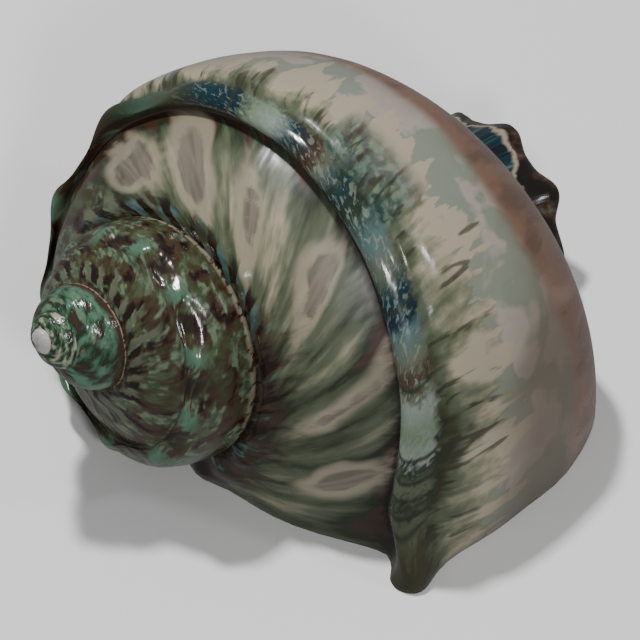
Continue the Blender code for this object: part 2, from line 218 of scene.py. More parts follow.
# Colours
CREAM = (0.350, 0.305, 0.225)
CREAM_GREEN = (0.185, 0.185, 0.120)
GREY_GREEN = (0.092, 0.105, 0.068)
GREEN = (0.062, 0.076, 0.040)
MID_GREEN = (0.028, 0.070, 0.040)
DEEP_GREEN = (0.016, 0.026, 0.012)
BRIGHT_GREEN = (0.075, 0.165, 0.105)
PALE_GREEN = (0.130, 0.180, 0.110)
OLIVE = (0.042, 0.042, 0.018)
DARK_OLIVE = (0.022, 0.022, 0.012)
BROWN = (0.044, 0.022, 0.014)
DARK_BROWN = (0.012, 0.006, 0.004)
BLACK_BROWN = (0.007, 0.005, 0.004)
TEAL = (0.003, 0.026, 0.034)
DEEP_BLUE = (0.003, 0.013, 0.025)
AQUA = (0.070, 0.125, 0.122)
PALE_BLUE = (0.205, 0.245, 0.215)
NACRE = (0.325, 0.290, 0.245)
NACRE_PINK = (0.315, 0.262, 0.235)
NACRE_GREEN = (0.195, 0.215, 0.170)
# The colour of painted shade on the nacre of the shell's lower side
NACRE_PAINTED_SHADE = (0.105, 0.078, 0.056)
WINDOW_GREY = (0.122, 0.114, 0.084)
WINDOW_PINK = (0.190, 0.158, 0.126)
PINK_BROWN = (0.160, 0.092, 0.063)
BAND_DARK = (0.110, 0.062, 0.042)
BAND_PALE = (0.215, 0.140, 0.104)
SILVER_NACRE = (0.442, 0.442, 0.425)
WORN_WHITE = (0.425, 0.408, 0.391)

# Tones along the keel's cord, by growth line
KEEL_BLOCKS = (
    (-0.20, BROWN), (-0.15, DEEP_GREEN), (-0.12, MID_GREEN),
    (-0.09, OLIVE), (-0.06, TEAL), (-0.03, DEEP_BLUE),
    (-0.015, PALE_GREEN), (0.005, PALE_BLUE), (0.020, TEAL),
    (0.040, BROWN), (0.050, GREY_GREEN), (0.065, TEAL),
    (0.085, DEEP_GREEN), (0.105, AQUA), (0.125, GREY_GREEN),
    (0.140, TEAL), (0.155, DEEP_BLUE), (0.165, AQUA),
    (0.180, GREY_GREEN), (0.190, BROWN), (0.200, GREY_GREEN),
    (0.208, PALE_BLUE), (0.225, PALE_GREEN), (0.240, PALE_BLUE),
    (0.248, DEEP_GREEN), (0.262, GREY_GREEN), (0.272, DEEP_GREEN),
    (0.285, GREY_GREEN), (0.300, OLIVE),
)

# Tones of the other parts, by the value of a noise
MOTTLED_TONES = ((0.40, DARK_BROWN), (0.46, BROWN), (0.53, OLIVE), (0.60, GREEN))
PATCH_TONES = ((0.40, MID_GREEN), (0.50, GREY_GREEN), (0.58, PALE_GREEN))
EARLY_TONES = ((0.36, BROWN), (0.43, DEEP_GREEN), (0.50, MID_GREEN), (0.60, BRIGHT_GREEN))
TIP_TONES = ((0.40, DEEP_GREEN), (0.48, MID_GREEN), (0.56, PALE_GREEN), (0.64, CREAM))
RAMP_TONES = (
    (0.44, CREAM), (0.50, CREAM_GREEN), (0.55, GREY_GREEN),
    (0.60, GREEN), (0.66, DEEP_GREEN), (0.72, BROWN),
)
WINDOW_TONES = ((0.42, WINDOW_GREY), (0.52, WINDOW_PINK), (0.62, WINDOW_GREY))
SMEAR_TONES = ((0.42, DARK_BROWN), (0.50, BROWN), (0.58, DEEP_GREEN), (0.66, AQUA))
FLANK_TONES = (
    (0.42, CREAM), (0.47, CREAM_GREEN), (0.52, GREY_GREEN),
    (0.57, GREEN), (0.62, OLIVE), (0.68, DEEP_GREEN),
)
WASH_TONES = ((0.42, TEAL), (0.48, MID_GREEN), (0.54, AQUA), (0.62, PALE_GREEN))
NACRE_TONES = ((0.42, NACRE_PINK), (0.50, NACRE), (0.56, NACRE_GREEN))
BAND_TONES = ((0.36, BAND_DARK), (0.46, PINK_BROWN), (0.54, PINK_BROWN), (0.66, BAND_PALE))
CHANNEL_TONES = ((0.38, BLACK_BROWN), (0.46, DEEP_BLUE), (0.54, TEAL), (0.62, MID_GREEN), (0.70, AQUA))
PILLAR_TONES = ((0.40, BLACK_BROWN), (0.48, DARK_BROWN), (0.56, BROWN), (0.66, GREY_GREEN))

# Noises that follow the growth: spots for each turn and for each place, an offset, detail and twist
SPIRE_BLOTS = (26.0, 0.55, 0.0, 4.0, 0.6)
SPIRE_SPECKS = (90.0, 1.6, 7.0, 4.0, 0.0)
SPIRE_PATCHES = (24.0, 0.9, 17.0, 2.0, 0.3)
EARLY_CLOUDS = (14.0, 0.30, 23.0, 2.0, 0.3)
TIP_CHECKS = (14.0, 0.4, 11.0, 2.0, 0.0)
RAMP_STREAKS = (55.0, 0.35, 0.0, 5.0, 0.3)
RAMP_CLOUDS = (16.0, 0.45, 3.0, 3.0, 0.5)
RAMP_GRIT = (130.0, 2.5, 31.0, 4.0, 0.0)
CROWN_SPECKS = (120.0, 2.5, 5.0, 4.0, 0.0)
CROWN_BLOTS = (30.0, 0.8, 9.0, 3.0, 0.0)
CROWN_SMEARS = (80.0, 0.7, 2.0, 5.0, 0.0)
KEEL_SPECKS = (200.0, 3.0, 4.0, 4.0, 0.8)
FLANK_STREAKS = (62.0, 0.32, 6.0, 5.0, 0.35)
FLANK_CLOUDS = (18.0, 0.35, 8.0, 3.0, 0.0)
FLANK_GRIT = (130.0, 2.5, 32.0, 4.0, 0.0)
FLANK_DASHES = (150.0, 0.65, 14.0, 3.0, 0.5)
NACRE_MIST = (24.0, 0.9, 41.0, 3.0, 0.4)
BAND_VEINS = (40.0, 0.5, 61.0, 5.0, 0.4)
BASE_SPECKS = (60.0, 2.0, 12.0, 4.0, 0.0)
CHANNEL_LINES = (90.0, 0.6, 62.0, 5.0, 0.5)
BORDER_WEAVE = (30.0, 0.8, 1.0, 3.0, 0.0)
POLISH_GRAIN = (300.0, 0.5, 15.0, 3.0, 0.0)
SHALLOW_DENTS = (45.0, 0.9, 21.0, 2.0, 0.0)
PIMPLES = (60.0, 0.8, 51.0, 1.0, 0.0)

# Cells for each turn and for each place
EARLY_CHIPS = (9.0, 0.35)

# In what follows, an edge is where a mark starts and where it is full, and a hill its middle and reach. Both
# can end with an amount. Rags are how far specks shift an edge.

# The early whorls' pattern
MOTTLING_SHARES = (0.70, 0.30)
SPIRE_RAGS = 0.20
PATCH_EDGE = (0.52, 0.60, 0.85)
EARLY_WHORLS, FIRST_WHORLS, WORN_TIP = (-1.66, -1.70), (-2.60, -2.72), (-3.55, -3.75)
CHIP_RAGS, CHIP_EDGE = 0.3, (0.46, 0.36, 0.8)
EARLY_FOOT = (8.2, 10.2)
EARLY_BAR_RAGS, EARLY_BAR_SPREAD = 0.020, 7.0
EARLY_BARS_END, EARLY_BARS_START = (6.2, 5.2), (0.3, 0.9)
EARLY_PALE_BARS, EARLY_DARK_BARS = (0.45, 0.25), (0.55, 0.75)
NODULE_REACH, NODULE_RAGS = 2.6, 0.012
# Painted shade of dark brown in the hollows between the keel's nodules, weaker on the early whorls
PAINTED_HOLLOW_SHADE_EDGE, PAINTED_HOLLOW_SHADE, EARLY_PAINTED_SHADE_FADING = (0.35, 0.1), 0.85, 0.60
# A painted highlight of bright green on the crests of the keel's nodules
PAINTED_CREST_HIGHLIGHT_RAGS, PAINTED_CREST_HIGHLIGHT_EDGE = 0.8, (1.05, 1.35, 0.9)
LOWER_CORD, LOWER_CORD_BREAKS = (10.75, 0.35, 0.7), (0.40, 0.50)

# Between suture and keel, and where it is greener
RAMP_SHARES = (0.50, 0.40, 0.10)
RAMP_LEAN = 0.012
KEEL_SIDE, KEEL_SIDE_LEAN, KEEL_SIDE_EARLIER = (2.7, 4.1), 0.11, (0.12, 0.0, 0.06)
SUTURE_SIDE = (2.4, 0.9, 0.13)
TOWARDS_LIP, TOWARDS_BACK = (0.06, 0.20, 0.075), (-0.10, -0.26, 0.14)
CORD_FOOT, CORD_FOOT_EARLIER = (3.0, 4.2), (0.05, -0.03, 0.05)
WINDOW_STREAKS, WINDOW_CLOUDS, RIM_CLOUDS = 0.8, 2.4, 3.0
RIM_EDGE, WINDOW_EDGE = (-1.10, -0.20, 0.65), (-0.08, 0.25)

# The pleats at the suture
BAR_SLANT, BAR_RAGS, BAR_SPREAD = 0.006, 0.010, 2.4
BETWEEN_BARS = (0.45, 0.6)
PALE_BARS_END, PALE_BARS = (2.6, 1.9), (0.6, 0.3)
DARK_BARS_END, DARK_BARS_FADE, DARK_BARS = (2.75, 2.2), (0.17, 0.08), (0.42, 0.62)
SMEAR_SPREAD, SMEARS_END, SMEARS_START = 3.0, (3.9, 2.6), (0.03, 0.10)

# The keel's cord, the painted shade in its groove and the painted shade before the knob
BLOCK_RAGS, CORD_RAGS = 0.035, 0.8
FLECK_EDGE, FLECKS_END, FLECKS_START = (0.54, 0.62, 0.5), (0.235, 0.215), (-0.11, -0.05)
CORD_INNER_EDGE, CORD_OUTER_EDGE, CORD_START = (4.35, 4.60), (7.35, 6.95), (-0.25, -0.12)
# Painted shade on the keel's end, by the knob next to the floor
KNOB_PAINTED_SHADE_START, KNOB_PAINTED_SHADE = (0.262, 0.292), (5.6, 2.4, 0.55)
# Painted shade in the groove inside the cord
GROOVE_PAINTED_SHADE, GROOVE_PAINTED_SHADE_START = (4.15, 0.55, 0.9), (0.00, 0.07)

# The flank
FLANK_START = (5.6, 6.4)
FLANK_SHARES = (0.52, 0.36, 0.12)
FLANK_LEAN, FLANK_AGEING, FLANK_PALING = 0.090, (0.12, 0.26, 0.05), (6.6, 8.9, -0.20)
WASH, WASH_RAGS, WASH_EDGE, WASH_STRENGTH = (0.086, 0.060), 1.5, (0.30, 0.60), 0.75
WASH_OUTER_EDGE, WASH_INNER_EDGE = (9.2, 8.5), (6.9, 7.3)
STRIPE_EDGE, STRIPES_START = (0.53, 0.58, 0.7), (7.4, 8.0)
DASH_CLOUDS, DASHES_FADE, DASH_EDGE = 0.6, (7.4, 9.6, -0.12), (0.52, 0.62, 0.75)

# The bare nacre with its painted shade, and the brown band beside the lower suture
BORDER_TONE, BORDER_STREAKS, NACRE_EDGE = 4.0, 3.0, (9.25, 9.40)
BORDER_MIST = (9.5, 1.3, 0.08)
# Painted shade on the nacre: it darkens towards the base, and starts sooner towards the lip
PAINTED_SHADE_TOWARDS_LIP, PAINTED_SHADE_CLOUDS, PAINTED_SHADE_EDGE = (0.16, 0.28, 1.2), 2.0, (9.9, 11.4, 0.75)
BAND_TOWARDS_LIP, BAND_CLOUDS, BAND_EDGE = (0.15, 0.25, -0.5), 0.4, (10.30, 10.70)

# The base, the channel and the pillar. The pillar's spots are counted for each metre
BASE_RAGS, BASE_WIDENING = 0.3, (0.06, 0.13, 0.25)
CHANNEL_RIM, CHANNEL_EDGE, PILLAR_EDGE = (12.6, 13.1), (13.1, 13.8), (14.77, 14.80)
PILLAR_SPOTS, PILLAR_DETAIL = 160.0, 4.0
PILLAR_LINE = (14.78, 0.05, 0.8)

# Where the early pattern ends, and where the inside begins
WEAVE_SHIFT, SPIRE_END = 0.25, (-0.06, -0.13)
INSIDE_START = (0.3, 0.9)

# The polish: roughness, fine relief and a thin clear coat
ROUGHNESS, GRAIN_ROUGHNESS = 0.13, 0.14
SATIN, SATIN_START = (3.4, 1.3, 0.22), (-0.05, 0.02)
RELIEF_DEPTH, GRAIN_HEIGHT = 0.0005, 0.05
PIMPLES_START = (-0.3, -0.6, 1.6)
COAT_WEIGHT, COAT_ROUGHNESS = 0.2, 0.05

# How far inside the solid's box the shell stays
BOX_MARGIN = 0.00002

# The surroundings
FLOOR_SIZE = 3.0
FLOOR_COLOUR, FLOOR_ROUGHNESS = (0.80, 0.80, 0.80), 0.6
SKY_COLOUR, SKY_STRENGTH = (1.0, 1.0, 1.0, 1.0), 0.20
LIT_POINT = Vector((0.0, 0.0, 0.04))

# Lamps, by their places, sizes and powers
LAMPS = {
    "key lamp": ((-0.30, 0.30, 1.30), 0.11, 17.5),
    "front lamp": ((0.20, -1.05, 0.95), 0.16, 7.0),
    "side lamp": ((0.95, -0.25, 0.9), 0.12, 2.0),
}


def smooth(low, high, value):
    """Zero below low, one above high and a soft step between them."""
    part = np.clip((value - low) / (high - low), 0.0, 1.0)
    return part * part * (3 - 2 * part)


def bump(place, middle, width):
    return np.exp(-(((place - middle) / width) ** 2))


def wave(angle, spacing, phase=0.0):
    """A train of rounded crests, level on average."""
    crest = 0.5 + 0.5 * np.cos(tau * (angle - phase) / spacing)
    return crest**CREST_SHARPNESS - CREST_LEVEL


def along_curve(points, places):
    """Points on a smooth curve through the given ones. Place 2.5 is half way from the third to the fourth."""
    points = np.asarray(points, float)
    padded = np.vstack([2 * points[0] - points[1], points, 2 * points[-1] - points[-2]])
    start = np.clip(np.floor(places).astype(int), 0, len(points) - 2)
    t = (places - start)[..., None]
    before, here, there, after = (padded[start + step] for step in range(4))
    bend = 2 * before - 5 * here + 4 * there - after
    twist = 3 * here - before - 3 * there + after
    return here + 0.5 * t * (there - before + t * (bend + t * twist))


def growth(angle):
    """Scales of radius and reach at a growth angle, and the shrinking that takes both to the apex."""
    turn = np.maximum(angle / tau, FIRST_MEASURED_TURN)
    laws = (RADIAL_GROWTH, AXIAL_GROWTH)
    radial, axial = (np.exp(law[0] * turn + law[1] * turn**2 + law[2] * turn**3) for law in laws)
    shrink = np.exp(APEX_GROWTH * np.minimum(angle / tau - FIRST_MEASURED_TURN, 0.0))
    return radial, axial, shrink


def grown(angle, radius, reach):
    """A point of the outline, as radius and reach, grown to this angle."""
    radial, axial, shrink = growth(angle)
    grown_reach = APEX_REACH + (reach * axial - APEX_REACH) * shrink
    return np.stack(np.broadcast_arrays(radius * radial * shrink, grown_reach), axis=-1)


def keel_relief(angle, place):
    """The keel's nodules, and the knob in which it ends at the lip."""
    strength = 1 - (1 - FADED_NODULES) * smooth(*NODULES_FALL, angle)
    strength = strength * smooth(*NODULES_RISE, angle)
    sunk = smooth(*SINKING, angle)
    sink = EARLY_NODULES_SINK + (LAST_NODULES_SINK - EARLY_NODULES_SINK) * sunk
    nodules = NODULE_HEIGHT * strength * (wave(angle, NODULE_SPACING, NODULE_PHASE) - sink)
    knob = smooth(*LIP_KNOB_RISE, angle)
    nodules = nodules * bump(place, NODULE_PLACE, NODULE_WIDTH)
    knob = knob * np.exp(-(((place - LIP_KNOB_PLACE) / LIP_KNOB_WIDTH) ** LIP_KNOB_BLUNTNESS))
    return nodules + LIP_KNOB_HEIGHT[0] * knob, LIP_KNOB_HEIGHT[1] * knob


def flank_relief(angle, place):
    """The flank draws in towards the lip, and on the far side under the keel."""
    at_lip = LIP_WAIST * smooth(*LIP_WAIST_RISE, angle)
    far = FAR_WAIST * smooth(*FAR_RISE, angle) * (1 - smooth(*FAR_FALL, angle))
    depth = at_lip * bump(place, LIP_WAIST_PLACE, LIP_WAIST_WIDTH)
    depth = depth + far * bump(place, FAR_WAIST_PLACE, FAR_WAIST_WIDTH)
    return -depth, 0 * depth


def pleat_relief(angle, place):
    """Slanting pleats that hang from the suture."""
    slanted = wave(angle + PLEAT_SLANT * place, PLEAT_SPACING)
    strength = PLEAT_MEAN + PLEAT_CHANGE * np.sin(PLEAT_CHANGES * angle + PLEAT_CHANGE_PHASE)
    height = PLEAT_HEIGHT * strength * slanted * bump(place, PLEAT_PLACE, PLEAT_WIDTH)
    height = height * smooth(*PLEAT_RISE, place)
    return PLEAT_OUTWARDS * height, -height


def neck_relief(angle, place):
    """The neck between base and pillar fills up towards the lip."""
    filled = smooth(*NECK_RISE, angle) * bump(place, NECK, NECK_WIDTH)
    return NECK_FILLING[0] * filled, NECK_FILLING[1] * filled


def ridge_relief(angle, place):
    """Nodules on the ridge around the pillar."""
    nodules = wave(angle, RIDGE_NODULE_SPACING, RIDGE_NODULE_PHASE) + RIDGE_NODULE_LIFT
    strength = 1 - smooth(*RIDGE_FALL, angle)
    height = RIDGE_NODULE_HEIGHT * strength * nodules * bump(place, RIDGE, RIDGE_WIDTH)
    return RIDGE_FACING[0] * height, RIDGE_FACING[1] * height


def cord_relief(angle, place):
    """A rounded cord along the keel of the last whorls, with a groove on either side."""
    raised = smooth(*CORD_RISE, angle)
    width = CORD_WIDTHS[0] + (CORD_WIDTHS[1] - CORD_WIDTHS[0]) * smooth(*CORD_WIDENING, angle)
    dome = np.clip(1 - ((place - CORD_PLACE) / width) ** 2, 0.0, 1.0) ** CORD_ROUNDNESS
    cord = CORD_HEIGHT * (dome - CORD_SINK) * raised * bump(place, CORD_PLACE, CORD_REACH)
    inner = INNER_GROOVE * raised * bump(place, CORD_PLACE - width - GROOVE_GAP, GROOVE_WIDTH)
    outer = OUTER_GROOVE * raised * bump(place, CORD_PLACE + width + GROOVE_GAP, GROOVE_WIDTH)
    outwards = CORD_FACING[0] * cord + OUTER_GROOVE_FACING[0] * outer
    return outwards, inner + CORD_FACING[1] * cord + OUTER_GROOVE_FACING[1] * outer


RELIEFS = (keel_relief, flank_relief, pleat_relief, neck_relief, ridge_relief, cord_relief)


def section(angle, place):
    """Radius and reach of the shell's outside at a growth angle and a place along the outline."""
    angle, place = np.broadcast_arrays(np.asarray(angle, float), np.asarray(place, float))
    outline = along_curve(OUTLINE, place)
    points = grown_now = grown(angle, outline[..., 0], outline[..., 1])
    upper = grown(angle, *OUTLINE[0])
    lower = grown(angle + tau, *OUTLINE[0])
    # The last whorls keep the whole outline, and each runs into the suture of the next one
    pull = smooth(PULL_START, LOWER_SUTURE, place) * (1 - smooth(PULL_END, RIDGE, place))
    pull = pull * (1 - smooth(*FREEING, angle))
    points = points + pull[..., None] * (lower - grown(angle, *OUTLINE[LOWER_SUTURE]))
    # The early whorls are arches
    part = np.minimum(place / LOWER_SUTURE, 1.0)[..., None]
    out = np.stack([lower[..., 1] - upper[..., 1], upper[..., 0] - lower[..., 0]], axis=-1)
    arch = upper + part * (lower - upper) + ARCH_DEPTH * np.sin(pi * part) * out
    points = arch + smooth(*ARCHES_OPEN, angle)[..., None] * (points - arch)
    # The pillar around the axis
    frozen = grown(np.maximum(angle, PILLAR_ANGLE), outline[..., 0], outline[..., 1])
    rise = smooth(*PILLAR_RISE, angle) * smooth(CHANNEL, RIDGE, place)
    points = points + rise[..., None] * (frozen - grown_now)
    relief = sum(np.stack(each(angle, place), axis=-1) for each in RELIEFS)
    radial, _, shrink = growth(angle)
    return points + relief * (radial * shrink)[..., None]


def lying_pose():
    """The turn from the shell's own frame, with reach along +Z, to the way it lies."""
    turned = (
        Matrix.Rotation(AXIS_HEADING, 3, "Z")
        @ Matrix.Rotation(pi / 2 + AXIS_SLOPE, 3, "Y")
        @ Matrix.Rotation(pi - BACK_ANGLE, 3, "Z")
    )
    return np.array(turned)


POSE = lying_pose()
APEX_PLACE = np.array([*CENTRING, APEX_PLANE_HEIGHT])


def placed(section_points, angle, on_axis=0.0):
    """World points of points of the section. Those on the axis move aside by the pillar's shift."""
    radius, reach = section_points[..., 0], section_points[..., 1]
    x = radius * np.cos(angle) + on_axis * PILLAR_SHIFT * cos(PILLAR_SHIFT_ANGLE)
    y = radius * np.sin(angle) + on_axis * PILLAR_SHIFT * sin(PILLAR_SHIFT_ANGLE)
    return np.stack([x, y, reach], axis=-1) @ POSE.T + APEX_PLACE


def outside(angle, place):
    """World points of the shell's outside."""
    return placed(section(angle, place), angle, smooth(PILLAR_SHIFT_START, AXIS, place))


def inside(angle, direction, flare=1.0):
    """World points of the hollow's wall, in a direction seen from its centre."""
    radius = HOLLOW_CENTRE[0] + flare * HOLLOW_RADII[0] * np.cos(direction)
    reach = HOLLOW_CENTRE[1] + flare * HOLLOW_RADII[1] * np.sin(direction)
    return placed(grown(angle, radius, reach), angle)


def around_hollow(points, angles):
    """Where points lie around the hollow's centre: direction, and distance as a multiple of the oval."""
    own = (points - APEX_PLACE) @ POSE
    radial, axial, _ = growth(angles)
    across = (np.hypot(own[:, 0], own[:, 1]) / radial - HOLLOW_CENTRE[0]) / HOLLOW_RADII[0]
    down = (own[:, 2] / axial - HOLLOW_CENTRE[1]) / HOLLOW_RADII[1]
    return np.unwrap(np.arctan2(down, across)), np.hypot(across, down)


def first_below_ground(points_at, others):
    """The growth angle where points_at first reaches the ground, or the lip's, for each of the others."""
    tried = np.linspace(EARLIEST_LIP, LIP_ANGLE, LIP_SEARCH_STEPS)
    height = points_at(tried[:, None], others[None, :])[..., 2]
    found = np.full(len(others), LIP_ANGLE)
    for k in range(len(others)):
        below = np.nonzero(height[:, k] < 0)[0]
        if len(below) and below[0]:
            i = below[0]
            part = height[i - 1, k] / (height[i - 1, k] - height[i, k])
            found[k] = tried[i - 1] + part * (tried[i] - tried[i - 1])
    return found


class Skin:
    """The points and faces of the shell, with the growth angle, the place and the side of each point."""

    def __init__(self):
        self.points = []
        self.data = []
        self.faces = []

    def add(self, points, angles, places, side=0.0):
        points = np.atleast_2d(points)
        start = len(self.points)
        self.points.extend(map(tuple, points))
        columns = np.broadcast_arrays(np.zeros(len(points)), angles, places, side)[1:]
        self.data.extend(map(tuple, np.stack(columns, axis=-1)))
        return list(range(start, len(self.points)))

    def strip(self, first, second, closed=False):
        """Faces between two rows of points. A point that is shared, or that repeats, makes a triangle."""
        count = len(first) if closed else len(first) - 1
        for k in range(count):
            after = (k + 1) % len(first)
            corners = [first[k], second[k], second[after], first[after]]
            corners = [c for n, c in enumerate(corners) if c not in corners[:n]]
            if len(corners) > 2:
                self.faces.append(corners)

    def fan(self, ring, tip):
        """Triangles from a ring of points to its tip."""
        for k in range(len(ring)):
            self.faces.append([ring[k], tip, ring[(k + 1) % len(ring)]])


def outline_columns():
    """Places along the outline: from the suture to the lower suture, and on from there to the axis."""
    groups = [np.linspace(*group) for group in COLUMN_GROUPS]
    spire = np.concatenate([groups[0]] + [group[1:] for group in groups[1:]])
    base = np.linspace(LOWER_SUTURE, AXIS, BASE_COLUMNS + 1)[1:]
    return np.concatenate([spire, base])


def lip_line(columns):
    """The growth angle at which each column ends, and whether it ends on the ground."""
    lip = first_below_ground(outside, columns)
    lip[0] = LIP_ANGLE
    resting = (lip < LIP_ANGLE) & (columns <= RIDGE)
    return np.where(columns > RIDGE, lip[columns <= RIDGE][-1], lip), resting


def row_angles(row_angle, columns, lip):
    """Growth angles along one row. The rows bend to the lip's shape, and to the callus at the other end."""
    angles = np.full(len(columns), row_angle)
    if row_angle > BENT_ROWS_START:
        bend = (lip - BENT_ROWS_START) / (LIP_ANGLE - BENT_ROWS_START)
        angles = BENT_ROWS_START + (row_angle - BENT_ROWS_START) * bend
    past_callus = (row_angle - (LIP_ANGLE - tau)) / CALLUS_FADE
    if -ROUNDING < past_callus < 1:
        angles = angles + CALLUS_ANGLE * (1 - past_callus) * smooth(LOWER_SUTURE, CHANNEL, columns)
    return angles


def grow_outside(skin):
    """The outside, row by row. Returned are the ring around the mouth and its growth angles."""
    columns = outline_columns()
    lip, resting = lip_line(columns)
    count = int(TURNS * ROWS_PER_TURN)
    last_whorl = count - ROWS_PER_TURN
    rows = []
    for i in range(count + 1):
        row_angle = LIP_ANGLE - tau * (count - i) / ROWS_PER_TURN
        angles = row_angles(row_angle, columns, lip)
        points = outside(angles, columns)
        points[:, 2] = np.maximum(points[:, 2], 0.0)
        if i == count:
            points[resting, 2] = 0.0
        if i < last_whorl:
            row = skin.add(points[:SPIRE_COLUMNS], angles[:SPIRE_COLUMNS], columns[:SPIRE_COLUMNS])
        else:
            row = skin.add(points[:-1], angles[:-1], columns[:-1])
            if (i - last_whorl) % ROWS_PER_AXIS_POINT == 0 or i == count:
                axis_point = skin.add(points[-1], angles[-1], AXIS)[0]
            row.append(axis_point)
        rows.append(row)
    for i in range(count):
        shared = min(len(rows[i]), len(rows[i + 1]))
        skin.strip(rows[i][:shared], rows[i + 1][:shared])
    tip_angle = row_angles(0.0, columns, lip)[0] - TURNS * tau
    tip = skin.add(placed(np.array([0.0, APEX_REACH]), 0.0), tip_angle, 0.0)[0]
    skin.fan([row[0] for row in rows[: ROWS_PER_TURN + 1]] + rows[0][-2:0:-1], tip)
    last_row, first_row = rows[count], rows[last_whorl][SPIRE_COLUMNS:-1][::-1]
    axis_row = [row[-1] for row in rows[last_whorl:count][::-1]]
    axis_row = [point for point in dict.fromkeys(axis_row) if point != last_row[-1]]
    ring = last_row + axis_row + first_row
    ring_angles = np.full(len(ring), LIP_ANGLE)
    ring_angles[: len(columns)] = angles
    return ring, ring_angles


def carve_hollow(skin, ring, angles):
    """The lip, the callus and the hollow's wall, from the outside's last ring inwards."""
    start = np.array([skin.points[k] for k in ring])
    places = np.array([skin.data[k][1] for k in ring])
    direction, distance = around_hollow(start, angles)
    flare = FLARE * np.clip(distance - 1, 0.0, MOST_FLARED_WALL)

    def mouth_at(angle, k):
        return inside(angle, direction[k], 1 + flare[k])

    mouth = first_below_ground(mouth_at, np.arange(len(ring)))
    end = inside(mouth, direction, 1 + flare)
    end[mouth < LIP_ANGLE, 2] = 0.0
    previous = ring
    for step in range(1, RIM_STEPS + 1):
        part = step / RIM_STEPS
        row = skin.add(start + part * (end - start), angles, places, part)
        skin.strip(previous, row, closed=True)
        previous = row
    for step in range(1, HOLLOW_ROWS + 1):
        depth = (step / HOLLOW_ROWS) ** HOLLOW_ROW_CROWDING
        back = HOLLOW_TURN * depth
        even = LIP_ANGLE - LIP_LEAD - back
        angle = mouth - back
        angle = angle + (even - angle) * smooth(0.0, EVEN_FROM_DEPTH, depth)
        points = inside(angle, direction, 1 + flare * (1 - smooth(0.0, FLARE_DEPTH, back)))
        row = skin.add(points, angle, places, 1 + depth)
        skin.strip(previous, row, closed=True)
        previous = row
    end_angle = even - HOLLOW_END
    tip = skin.add(placed(grown(end_angle, *HOLLOW_CENTRE), end_angle), end_angle, 0.0, 2.0)[0]
    skin.fan(previous, tip)


